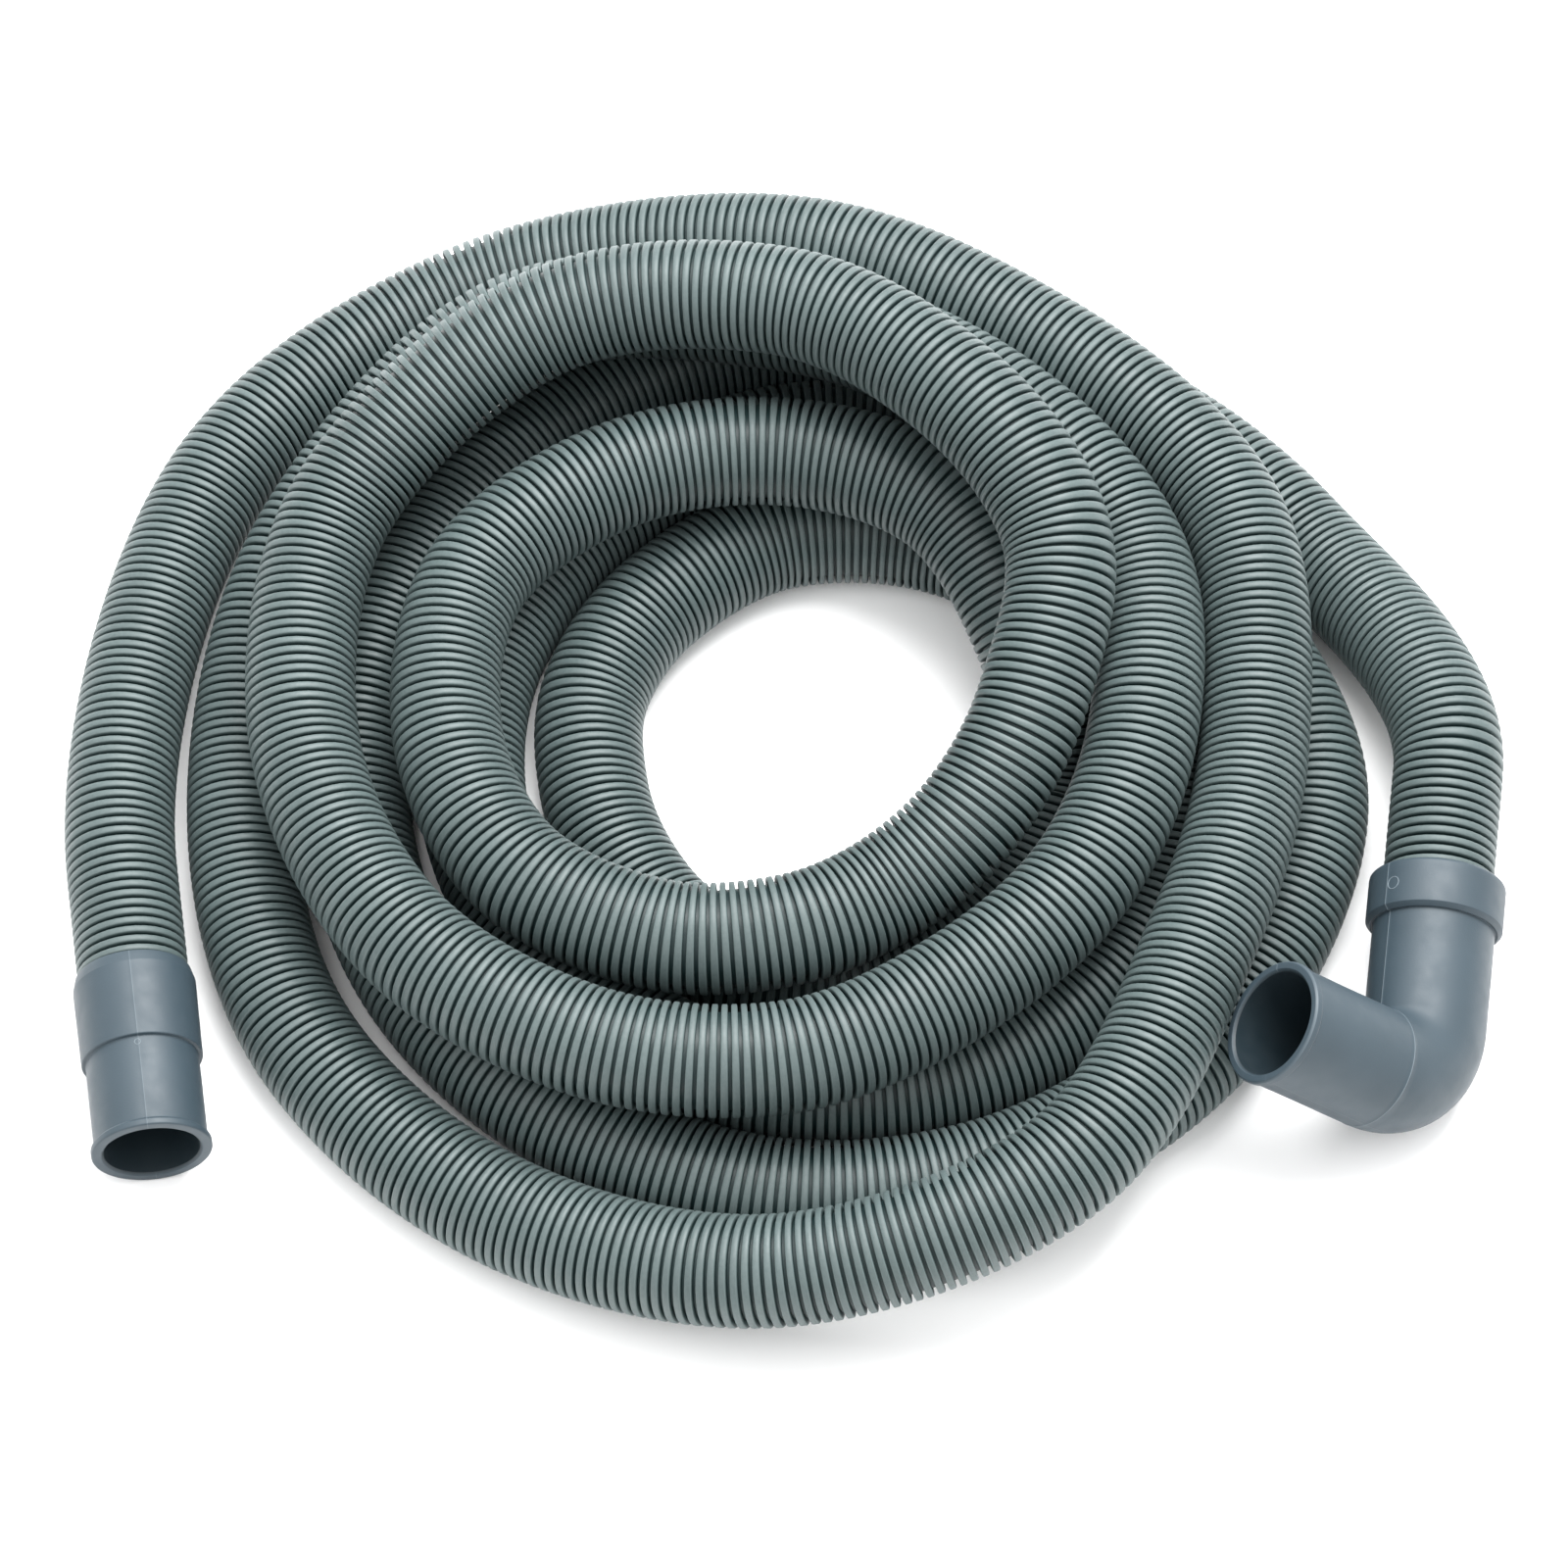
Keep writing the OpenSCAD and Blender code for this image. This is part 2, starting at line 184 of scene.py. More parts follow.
class StageSettings(bpy.types.PropertyGroup):
    """Camera, floor and light."""

    elevation: FloatProperty(
        name="Elevation", description="Height of the camera over the floor", default=radians(60),
        subtype="ANGLE",
    )
    distance: length_prop("Distance", "From the camera to the coil", 2200)
    aim: FloatVectorProperty(
        name="Aim", description="Point that the camera and the soft box face",
        default=(0, 0.003, 0), subtype="TRANSLATION",
    )
    frame_width: length_prop("Frame width", "Width of the picture at the coil", 489.6)
    floor_width: length_prop("Floor width", "Side of the white floor", 8000)
    key_power: FloatProperty(
        name="Key power", description="Power of the soft box overhead", default=105, unit="POWER"
    )
    key_size: length_prop("Key size", "Side of the soft box", 1600)
    key_place: FloatVectorProperty(
        name="Key place", description="Middle of the soft box", default=(0.3, 0.9, 2.0),
        subtype="TRANSLATION",
    )
    sky: FloatProperty(
        name="Sky", description="Strength of the white surroundings overhead", default=2.4
    )
    horizon: FloatProperty(
        name="Horizon", description="Strength of the white surroundings at the horizon", default=0.35
    )


# ---- nodes and materials ----


def add_node(tree, kind, sockets=None, **settings):
    """Adds a node. sockets gives each input a value or another node's output."""
    node = tree.nodes.new(kind)
    for name, value in settings.items():
        setattr(node, name, value)
    for key, value in (sockets or {}).items():
        if isinstance(value, bpy.types.NodeSocket):
            tree.links.new(value, node.inputs[key])
        else:
            node.inputs[key].default_value = value
    return node


def per_mm(size):
    """Scale of a texture whose features are this many millimetres wide."""
    return 1 / (size * MM)


def start_material(name):
    """An empty material and its tree, with the piece's own coordinates."""
    material = bpy.data.materials.new(name)
    material.use_nodes = True
    tree = material.node_tree
    tree.nodes.clear()
    return material, tree, add_node(tree, "ShaderNodeTexCoord").outputs["Object"]


# Strength and depth of the fine relief that breaks up highlights
RELIEF_STRENGTH = 0.35
RELIEF_DEPTH = 0.06 * MM


def finish_material(tree, colour, roughness, height, ior):
    """Joins colour, roughness and fine relief in the surface shader."""
    bump = add_node(
        tree, "ShaderNodeBump",
        {"Strength": RELIEF_STRENGTH, "Distance": RELIEF_DEPTH, "Height": height},
    )
    shader = add_node(
        tree, "ShaderNodeBsdfPrincipled",
        {"Base Color": colour, "Roughness": roughness, "IOR": ior, "Normal": bump.outputs["Normal"]},
    )
    add_node(tree, "ShaderNodeOutputMaterial", {"Surface": shader.outputs["BSDF"]})


def mix_colour(tree, share, first, second):
    """Output that goes from the first colour to the second with share."""
    mix = add_node(tree, "ShaderNodeMix", {0: share}, data_type="RGBA")
    for socket, colour in ((mix.inputs[6], first), (mix.inputs[7], second)):
        if isinstance(colour, bpy.types.NodeSocket):
            tree.links.new(colour, socket)
        else:
            socket.default_value = (*colour, 1)
    return mix.outputs[2]


def spread(tree, value, low, high, to_low=0.0, to_high=1.0):
    """Output that stretches value from one range to another."""
    node = add_node(
        tree, "ShaderNodeMapRange",
        {"Value": value, "From Min": low, "From Max": high, "To Min": to_low, "To Max": to_high},
    )
    return node.outputs["Result"]


def noise(tree, place, size, detail=2.0):
    """Output of a noise whose patches are this many millimetres wide."""
    node = add_node(
        tree, "ShaderNodeTexNoise", {"Vector": place, "Scale": per_mm(size), "Detail": detail}
    )
    return node.outputs["Fac"]


def patches(tree, place, colour, size, tones, cut, detail=2.0):
    """Output that drifts between two tones of a colour, given as shares of it, in patches this
    many millimetres wide. cut gives the noise values at which each tone is reached."""
    share = spread(tree, noise(tree, place, size, detail), *cut)
    darker, paler = ([tone * c for c in colour] for tone in tones)
    return mix_colour(tree, share, darker, paler)


# Refractive index of the dull skin of both plastics, a little under solid LDPE's 1.51
PLASTIC_IOR = 1.47
# Lowest and highest roughness over each surface
HOSE_ROUGHNESS = (0.46, 0.58)
FITTING_ROUGHNESS = (0.48, 0.58)
# Tone of the painted highlight along a rib's top edges, as a share of its top's
EDGE_HIGHLIGHT_TONE = 1.18


def blown_polyethylene(finishes):
    """Blow-moulded low-density polyethylene: waxy satin ribs, each of a slightly different
    tone, with painted shade darkening the grooves and the ribs' sides and a painted
    highlight along both edges of each rib's top."""
    material, tree, place = start_material("blow_moulded_ldpe")
    rise = add_node(tree, "ShaderNodeAttribute", attribute_name="rise").outputs["Fac"]
    tone = add_node(tree, "ShaderNodeAttribute", attribute_name="tone").outputs["Fac"]
    crest = patches(
        tree, place, finishes.hose_crest, size=28, tones=(0.93, 1.05), cut=(0.35, 0.65)
    )
    # Each rib is darker by a share of its own
    crest = mix_colour(tree, spread(tree, tone, 0, 1, to_high=0.12), crest, finishes.hose_dark_tone_and_groove_shade)
    # Scuffs and dust in the wax, in specks about 1 mm wide
    specks = spread(tree, noise(tree, place, 1.1, detail=3.0), 0.4, 0.7, to_high=0.16)
    crest = mix_colour(tree, specks, crest, finishes.hose_dark_tone_and_groove_shade)
    # Painted highlight: paler along both edges of each rib's top
    edge = spread(tree, rise, 0.99, 0.93)
    crest = mix_colour(tree, edge, crest, [EDGE_HIGHLIGHT_TONE * c for c in finishes.hose_crest])
    # Painted shade: the grooves and the ribs' sides darken to the groove colour, the tops keep the
    # crest's
    colour = mix_colour(tree, spread(tree, rise, 0.3, 0.92), finishes.hose_dark_tone_and_groove_shade, crest)
    roughness = spread(tree, noise(tree, place, 9), 0.3, 0.7, *HOSE_ROUGHNESS)
    # The mould's grain is about 0.1 mm, drawn at 0.8 mm so that it shows
    finish_material(tree, colour, roughness, noise(tree, place, 0.8, detail=3.0), PLASTIC_IOR)
    return material


def moulded_pvc(finishes):
    """Injection-moulded soft PVC: an even satin blue-grey that takes a broad soft highlight,
    paler where flash stands at the parting lines, and darker in the bore with painted shade."""
    material, tree, place = start_material("injection_moulded_soft_pvc")
    seam = add_node(tree, "ShaderNodeAttribute", attribute_name="seam").outputs["Fac"]
    bore = add_node(tree, "ShaderNodeAttribute", attribute_name="bore").outputs["Fac"]
    body = patches(
        tree, place, finishes.fitting, size=22, tones=(0.94, 1.05), cut=(0.3, 0.7), detail=3.0
    )
    # Painted shade darkens the bore
    body = mix_colour(tree, bore, body, finishes.fitting_bore_shade)
    colour = mix_colour(tree, spread(tree, seam, 0, 1, to_high=0.8), body, finishes.fitting_seam)
    roughness = spread(tree, noise(tree, place, 6), 0.3, 0.7, *FITTING_ROUGHNESS)
    # The mould's spark-eroded grain is about 0.05 mm, drawn at 0.6 mm so that it shows
    finish_material(tree, colour, roughness, noise(tree, place, 0.6), PLASTIC_IOR)
    return material


def studio_white():
    material, tree, place = start_material("matt_paper")
    shade = mix_colour(tree, noise(tree, place, 300), linear("#fafafa"), linear("#fdfdfd"))
    finish_material(tree, shade, roughness=0.9, height=noise(tree, place, 2), ior=1.45)
    return material


def linked_object(name, data):
    """A new object of the scene with this data."""
    piece = bpy.data.objects.new(name, data)
    bpy.context.scene.collection.objects.link(piece)
    return piece


# ---- stage ----


FLOOR_DROP = 0.1 * MM


class BuildStage(bpy.types.Operator):
    """Place the camera, the white floor, the soft box and the white surroundings"""

    bl_idname = "hose_kit.stage"
    bl_label = "Stage"

    def execute(self, context):
        scene = context.scene
        stage = scene.hose_kit_stage
        target = Vector(stage.aim)
        toward = Vector((0, -cos(stage.elevation), sin(stage.elevation)))
        lens = bpy.data.cameras.new("camera")
        lens.lens = lens.sensor_width * stage.distance / stage.frame_width
        camera = linked_object("camera", lens)
        camera.location = target + stage.distance * toward
        camera.rotation_euler = (pi / 2 - stage.elevation, 0, 0)
        scene.camera = camera

        half = stage.floor_width / 2
        floor_mesh = bpy.data.meshes.new("floor")
        corners = [(-half, -half), (half, -half), (half, half), (-half, half)]
        floor_mesh.from_pydata([(x, y, -FLOOR_DROP) for x, y in corners], [], [(0, 1, 2, 3)])
        floor_mesh.materials.append(studio_white())
        linked_object("floor", floor_mesh)

        light = bpy.data.lights.new("soft_box", "AREA")
        light.energy = stage.key_power
        light.size = stage.key_size
        lamp = linked_object("soft_box", light)
        lamp.location = stage.key_place
        lamp.rotation_euler = (target - lamp.location).to_track_quat("-Z", "Y").to_euler()

        world = bpy.data.worlds.new("white_surroundings")
        world.use_nodes = True
        sky_tree = world.node_tree
        # In a world, Generated is the direction, so its Z rises from the horizon to overhead
        way = add_node(sky_tree, "ShaderNodeTexCoord").outputs["Generated"]
        height = add_node(sky_tree, "ShaderNodeSeparateXYZ", {"Vector": way}).outputs["Z"]
        strength = spread(sky_tree, height, 0, 1, stage.horizon, stage.sky)
        background = sky_tree.nodes["Background"]
        background.inputs["Color"].default_value = (1, 1, 1, 1)
        sky_tree.links.new(strength, background.inputs["Strength"])
        scene.world = world
        scene.view_settings.view_transform = "Standard"
        return {"FINISHED"}


# ---- hose ----


def hose_axes(sizes):
    """For both fittings, the middle of the collar's face and the unit vector into the fitting."""
    held = sizes.held_ribs * sizes.rib_pitch
    cuff_turn = JOINTS["cuff_turn"]
    into_cuff = Vector(cuff_turn["axis"]).normalized()
    into_elbow = -Vector(JOINTS["elbow_swivel"]["axis"]).normalized()
    cuff_seat = Vector(cuff_turn["pos_m"]) - into_cuff * held / 2
    elbow_seat = Vector(JOINTS["elbow_swivel"]["pos_m"]) - into_elbow * held / 2
    return (cuff_seat, into_cuff), (elbow_seat, into_elbow)


def coil_route(sizes):
    """Closely spaced points of the coil's centreline, from the cuff to the elbow."""
    (cuff_seat, into_cuff), (elbow_seat, into_elbow) = hose_axes(sizes)
    lie_height = (0.5 - sizes.pressed) * sizes.diameter
    shown = sizes.shown_ribs * sizes.rib_pitch
    cuff_end = cuff_seat - shown * into_cuff
    elbow_end = elbow_seat - shown * into_elbow
    # The hose leaves each fitting straight for one diameter
    points = [cuff_end, cuff_end - sizes.diameter * into_cuff]
    for i, (reach, lift) in enumerate(STATIONS):
        angle = STATION_ANGLE * (i + 1)
        points.append(Vector((
            TURNS_MIDDLE[0] - reach * cos(angle), TURNS_MIDDLE[1] + reach * sin(angle), lie_height + lift
        )))
    points += [elbow_end - sizes.diameter * into_elbow, elbow_end]

    # Direction of the curve at each point, level where the hose lies on the ground
    last = len(points) - 1
    pulls = [None] * (last + 1)
    for i in range(2, last - 1):
        pulls[i] = (points[i + 1] - points[i - 1]) / 2
        if STATIONS[i - 2][1] == 0:
            pulls[i].z = 0
    pulls[1] = -into_cuff * (points[2] - points[1]).length * END_PULL
    pulls[last - 1] = into_elbow * (points[last - 1] - points[last - 2]).length * END_PULL

    route = [points[0]]
    for i in range(1, last - 1):
        for k in range(SPAN_POINTS):
            t = k / SPAN_POINTS
            route.append(
                (2 * t**3 - 3 * t**2 + 1) * points[i] + (t**3 - 2 * t**2 + t) * pulls[i]
                + (3 * t**2 - 2 * t**3) * points[i + 1] + (t**3 - t**2) * pulls[i + 1]
            )
    route += points[-2:]
    route = np.array(route)
    route[:, 2] = np.maximum(route[:, 2], lie_height)
    return route


def evenly_along(route, start, end, spacing):
    """Points of the route from length start to length end, about spacing apart."""
    lengths = np.concatenate([[0], np.cumsum(np.linalg.norm(np.diff(route, axis=0), axis=1))])
    wanted = np.linspace(start, end, max(2, round((end - start) / spacing) + 1))
    return np.stack([np.interp(wanted, lengths, route[:, axis]) for axis in range(3)], axis=1)


def route_length(route):
    """Length of a row of points."""
    return float(np.linalg.norm(np.diff(route, axis=0), axis=1).sum())


# Rings on one rib, from foot to foot
RIB_RINGS = 8
# Power under 1 that flattens the top of a rib and steepens its sides
RIB_SQUARENESS = 0.35
# Ribs to each ring of the smooth bore
RIBS_TO_BORE_RING = 2
# An edge of the hose that turns by more than this stays sharp
HOSE_SHARP = radians(60)
# Seed of the first straight end's rib tones, past those of the stretches
FIRST_END_SEED = 20


def rib_skin_tree():
    """Geometry Nodes that turn a path into a hose: ribs and grooves outside, a smooth bore
    inside."""
    tree = bpy.data.node_groups.new("rib_skin", "GeometryNodeTree")
    face = tree.interface
    face.new_socket(name="Path", in_out="INPUT", socket_type="NodeSocketGeometry")
    for name, kind in (
        ("Ribs", "Int"), ("Rib Pitch", "Float"), ("Rib Base", "Float"), ("Rib Height", "Float"),
        ("Groove Radius", "Float"), ("Bore Radius", "Float"), ("Bore Rings", "Int"), ("Sides", "Int"),
        ("Wall", "Float"), ("Seed", "Int"), ("Material", "Material"),
    ):
        face.new_socket(name=name, in_out="INPUT", socket_type="NodeSocket" + kind)
    face.new_socket(name="Hose", in_out="OUTPUT", socket_type="NodeSocketGeometry")
    given = add_node(tree, "NodeGroupInput").outputs

    def math(operation, *values):
        return add_node(tree, "ShaderNodeMath", dict(enumerate(values)), operation=operation).outputs[0]

    # Ring number along the path: an end ring, RIB_RINGS for each rib, an end ring
    ring = math("SUBTRACT", add_node(tree, "GeometryNodeInputIndex").outputs[0], 1.0)
    rib = math("FLOOR", math("DIVIDE", ring, float(RIB_RINGS)))
    step = math("SUBTRACT", ring, math("MULTIPLY", rib, float(RIB_RINGS)))
    angle = math("MULTIPLY", math("DIVIDE", step, float(RIB_RINGS - 1)), pi)
    rise = math("POWER", math("ABSOLUTE", math("SINE", angle)), RIB_SQUARENESS)
    cosine = math("COSINE", angle)
    flattened = math("POWER", math("ABSOLUTE", cosine), RIB_SQUARENESS)
    reach = math("MULTIPLY", math("SIGN", cosine), flattened)
    middle = math("MULTIPLY", math("ADD", rib, 0.5), given["Rib Pitch"])
    half_base = math("DIVIDE", given["Rib Base"], 2.0)
    along = math("SUBTRACT", middle, math("MULTIPLY", reach, half_base))
    # A rib's first and last ring are its feet, where the sine's last digits must not lift them
    past_first = math("GREATER_THAN", step, 0.5)
    before_last = math("LESS_THAN", step, RIB_RINGS - 1.5)
    rise = math("MULTIPLY", rise, math("MULTIPLY", past_first, before_last))
    radius = math("ADD", given["Groove Radius"], math("MULTIPLY", rise, given["Rib Height"]))

    count = math("ADD", math("MULTIPLY", given["Ribs"], float(RIB_RINGS)), 2.0)
    rings = add_node(
        tree, "GeometryNodeResampleCurve", {"Curve": given["Path"], "Count": count}, mode="COUNT"
    )
    spot = add_node(
        tree, "GeometryNodeSampleCurve", {"Curves": given["Path"], "Length": along},
        mode="LENGTH", data_type="FLOAT",
    )
    placed = add_node(
        tree, "GeometryNodeSetPosition",
        {"Geometry": rings.outputs["Curve"], "Position": spot.outputs["Position"]},
    )
    tone = add_node(
        tree, "FunctionNodeRandomValue", {"ID": rib, "Seed": given["Seed"]}, data_type="FLOAT"
    )
    shaped = placed.outputs["Geometry"]
    for name, value in (("rise", rise), ("tone", tone.outputs[1])):
        stored = add_node(
            tree, "GeometryNodeStoreNamedAttribute",
            {"Geometry": shaped, "Name": name, "Value": value}, data_type="FLOAT", domain="POINT",
        )
        shaped = stored.outputs["Geometry"]
    circle = add_node(
        tree, "GeometryNodeCurvePrimitiveCircle", {"Resolution": given["Sides"], "Radius": 1.0},
        mode="RADIUS",
    ).outputs["Curve"]

    def tube(line, scale, lowest):
        """A circle of this scale swept along the line, no point lower than lowest."""
        upright = add_node(tree, "GeometryNodeSetCurveNormal", {"Curve": line}, mode="Z_UP")
        skin = add_node(
            tree, "GeometryNodeCurveToMesh",
            {"Curve": upright.outputs["Curve"], "Profile Curve": circle, "Scale": scale},
        )
        # Pressed flat where it lies on the ground
        place = add_node(tree, "GeometryNodeInputPosition").outputs[0]
        split = add_node(tree, "ShaderNodeSeparateXYZ", {"Vector": place}).outputs
        above = add_node(
            tree, "ShaderNodeCombineXYZ",
            {"X": split["X"], "Y": split["Y"], "Z": math("MAXIMUM", split["Z"], lowest)},
        )
        return add_node(
            tree, "GeometryNodeSetPosition",
            {"Geometry": skin.outputs["Mesh"], "Position": above.outputs[0]},
        ).outputs["Geometry"]

    outside = tube(shaped, radius, 0.0)
    bore_line = add_node(
        tree, "GeometryNodeResampleCurve", {"Curve": given["Path"], "Count": given["Bore Rings"]},
        mode="COUNT",
    )
    bore = tube(bore_line.outputs["Curve"], given["Bore Radius"], given["Wall"])
    inward = add_node(tree, "GeometryNodeFlipFaces", {"Mesh": bore})
    both = add_node(tree, "GeometryNodeJoinGeometry")
    tree.links.new(inward.outputs["Mesh"], both.inputs[0])
    tree.links.new(outside, both.inputs[0])
    smooth = add_node(tree, "GeometryNodeSetShadeSmooth", {"Geometry": both.outputs[0]})
    real = add_node(tree, "GeometryNodeRealizeInstances", {"Geometry": smooth.outputs[0]})
    done = add_node(
        tree, "GeometryNodeSetMaterial",
        {"Geometry": real.outputs[0], "Material": given["Material"]},
    )
    add_node(tree, "NodeGroupOutput", {"Hose": done.outputs[0]})
    return tree


def close_ends(mesh, start, end):
    """Joins outside and bore by a flat ring at each end of a stretch."""
    work = bmesh.new()
    work.from_mesh(mesh)
    open_edges = [edge for edge in work.edges if edge.is_boundary]
    start_edges = [
        e for e in open_edges if (e.verts[0].co - start).length < (e.verts[0].co - end).length
    ]
    end_edges = [e for e in open_edges if e not in set(start_edges)]
    for edges in (start_edges, end_edges):
        bmesh.ops.bridge_loops(work, edges=edges)
    bmesh.ops.recalc_face_normals(work, faces=work.faces)
    work.to_mesh(mesh)
    work.free()


def make_hose(name, path, ribs, tree, sizes, material, seed):
    """A stretch of hose with this many ribs along the path."""
    line = bpy.data.curves.new(name + "_path", "CURVE")
    line.dimensions = "3D"
    spline = line.splines.new("POLY")
    spline.points.add(len(path) - 1)
    spline.points.foreach_set("co", np.column_stack([path, np.ones(len(path))]).ravel())
    guide = linked_object(name + "_path", line)
    skin = guide.modifiers.new("rib_skin", "NODES")
    skin.node_group = tree
    groove_radius = sizes.diameter / 2 - sizes.rib_height
    length = route_length(path)
    values = {
        "Ribs": ribs, "Rib Pitch": length / ribs, "Rib Base": sizes.rib_base,
        "Rib Height": sizes.rib_height, "Groove Radius": groove_radius,
        "Bore Radius": groove_radius - sizes.wall,
        "Bore Rings": max(3, ribs // RIBS_TO_BORE_RING),
        "Sides": sizes.sides, "Wall": sizes.wall, "Seed": seed, "Material": material,
    }
    for item in tree.interface.items_tree:
        if item.in_out == "INPUT" and item.name in values:
            skin[item.identifier] = values[item.name]
    shape = guide.evaluated_get(bpy.context.evaluated_depsgraph_get())
    mesh = bpy.data.meshes.new_from_object(shape)
    mesh.name = name
    bpy.data.objects.remove(guide)
    bpy.data.curves.remove(line)
    close_ends(mesh, Vector(path[0]), Vector(path[-1]))
    mesh.set_sharp_from_angle(angle=HOSE_SHARP)
    piece = linked_object(name, mesh)
    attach(piece, "hose")
    return piece


class BuildHose(bpy.types.Operator):
    """Lay the corrugated hose along its coil and into both sockets"""

    bl_idname = "hose_kit.hose"
    bl_label = "Hose"

    def execute(self, context):
        sizes = context.scene.hose_kit_hose
        tree = rib_skin_tree()
        material = blown_polyethylene(context.scene.hose_kit_finishes)
        route = coil_route(sizes)
        whole = route_length(route)
        ribs = round(whole / sizes.rib_pitch)
        pitch = whole / ribs
        cuts = [round(k * ribs / sizes.stretches) for k in range(sizes.stretches + 1)]
        for k, (first, last) in enumerate(zip(cuts, cuts[1:]), start=1):
            path = evenly_along(route, first * pitch, last * pitch, PATH_STEP)
            piece = make_hose(f"hose_turns_{k}", path, last - first, tree, sizes, material, k)
            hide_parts("hose_coil")
        held = sizes.held_ribs * sizes.rib_pitch
        shown = sizes.shown_ribs * sizes.rib_pitch
        for seed, (node, (seat, into)) in enumerate(
            zip(("hose_end_cuff", "hose_end_elbow"), hose_axes(sizes)), start=FIRST_END_SEED
        ):
            line = np.array([seat + held * into, seat - shown * into])
            path = evenly_along(line, 0, held + shown, PATH_STEP)
            end = make_hose(
                node + "_skin", path, sizes.held_ribs + sizes.shown_ribs, tree, sizes, material, seed
            )
            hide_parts(node)
        return {"FINISHED"}


# ---- fittings ----


# Two places along a fitting that are nearer than this are one
SAME_PLACE = 0.1 * MM
# An edge of a fitting that turns by more than this stays sharp
FITTING_SHARP = radians(40)
# Points around a gate mark's ring, and around the ring's own section
BEAD_POINTS = 28
BEAD_SIDES = 6
# Share of the flash's pale colour in a gate mark
GATE_FLASH = 0.6
# Grooves that a grip ring runs in, counted from the hose's end
GRIP_GROOVES = (2, 4)


def rounded(corners, i, steps=5):
    """Points for corner i of a closed row of corners (along, radius, rounding)."""
    along, radius, rounding = corners[i]
    here = Vector((along, radius))
    if rounding == 0:
        return [here]
    back = (Vector(corners[i - 1][:2]) - here).normalized()
    ahead = (Vector(corners[(i + 1) % len(corners)][:2]) - here).normalized()
    half_angle = back.angle(ahead) / 2
    middle = here + (back + ahead).normalized() * rounding / sin(half_angle)
    start = here + back * rounding / tan(half_angle) - middle
    end = here + ahead * rounding / tan(half_angle) - middle
    sweep = start.angle(end)
    shares = [k / steps for k in range(steps + 1)]
    return [middle + (start * sin((1 - t) * sweep) + end * sin(t * sweep)) / sin(sweep) for t in shares]


def closed_outline(outside, inside, longest):
    """Outline through the corners, no side longer than this. Each point says if it lies outside."""
    corners = outside + inside
    turned = [(spot, i < len(outside)) for i in range(len(corners)) for spot in rounded(corners, i)]
    outline = []
    for i, (here, is_outside) in enumerate(turned):
        ahead = turned[(i + 1) % len(turned)][0]
        parts = max(1, int(np.ceil((ahead - here).length / longest)))
        outline += [(here.lerp(ahead, k / parts), is_outside) for k in range(parts)]
    return outline


def angles_with_seams(seams, width, count=120):
    """Angles around the axis, closer together beside each seam, with the ridge's height there.
    seams gives the height at each seam's angle."""
    fine = [width * k / 4 for k in (-2, -1, 0, 1, 2)]
    angles = {
        round(seam + f, 6): high * (1 - abs(f) / (width / 2))
        for seam, high in seams.items() for f in fine
    }
    for k in range(count):
        angle = 2 * pi * k / count
        apart = min(abs((angle - seam + pi) % (2 * pi) - pi) for seam in seams)
        if apart > width:
            angles[round(angle, 6)] = 0.0
    return sorted(angles.items(), key=lambda item: item[0] % (2 * pi))


def revolve(name, outline, place, fitting, pipe_radius, seams, flash_rings, material):
    """Sweeps a closed outline round an axis, with the mould's parting lines along it.
    place(along) gives the axis there and its two cross directions. seams gives how strong the
    line is at each angle, and flash_rings how strong it is round the outside at each place."""
    rings = angles_with_seams(seams, fitting.seam_width / pipe_radius)
    verts, seam, bore = [], [], []
    for (along, radius), is_outside in outline:
        centre, out, side = place(along)
        flashes = [high for ring, high in flash_rings.items() if abs(along - ring) < SAME_PLACE]
        flash = max(flashes + [0])
        for angle, ridge in rings:
            lift = ridge * fitting.seam_height * is_outside
            verts.append(centre + (radius + lift) * (cos(angle) * out + sin(angle) * side))
            seam.append(max(ridge, flash) * is_outside)
            bore.append(float(not is_outside))
    around, total = len(rings), len(outline)
    faces = [
        (i * around + j, ((i + 1) % total) * around + j,
         ((i + 1) % total) * around + (j + 1) % around, i * around + (j + 1) % around)
        for i in range(total) for j in range(around)
    ]
    return finish_mesh(name, verts, faces, {"seam": seam, "bore": bore}, material)


def finish_mesh(name, verts, faces, marks, material):
    """A smooth closed mesh piece whose faces point outwards. marks gives a value at each
    point for each name that the material reads."""
    mesh = bpy.data.meshes.new(name)
    mesh.from_pydata([tuple(v) for v in verts], [], faces)
    for mark, values in marks.items():
        mesh.attributes.new(mark, "FLOAT", "POINT").data.foreach_set("value", values)
    work = bmesh.new()
    work.from_mesh(mesh)
    bmesh.ops.recalc_face_normals(work, faces=work.faces)
    for face in work.faces:
        face.smooth = True
    work.to_mesh(mesh)
    work.free()
    mesh.set_sharp_from_angle(angle=FITTING_SHARP)
    mesh.materials.append(material)
    return linked_object(name, mesh)


def bead(name, place, radius_at, along, angle, ring_radius, thickness, material):
    """A thin raised ring lying on the outside, as a moulding gate leaves it. radius_at is the
    radius of the surface, and along and angle give the ring's middle on it."""
    verts, faces = [], []
    middle, out_m, side_m = place(along)
    hub = middle + radius_at * (cos(angle) * out_m + sin(angle) * side_m)
    for i in range(BEAD_POINTS):
        turn = 2 * pi * i / BEAD_POINTS
        here = along + ring_radius * cos(turn)
        centre, out, side = place(here)
        spin = angle + ring_radius * sin(turn) / radius_at
        up = cos(spin) * out + sin(spin) * side
        spot = centre + radius_at * up
        away = (spot - hub).normalized()
        for k in range(BEAD_SIDES):
            tilt = 2 * pi * k / BEAD_SIDES
            verts.append(spot + thickness * (cos(tilt) * away + sin(tilt) * up))
    for i in range(BEAD_POINTS):
        here, ahead = i * BEAD_SIDES, (i + 1) % BEAD_POINTS * BEAD_SIDES
        for k in range(BEAD_SIDES):
            m = (k + 1) % BEAD_SIDES
            faces.append((here + k, ahead + k, ahead + m, here + m))
    return finish_mesh(name, verts, faces, {"seam": [GATE_FLASH] * len(verts)}, material)


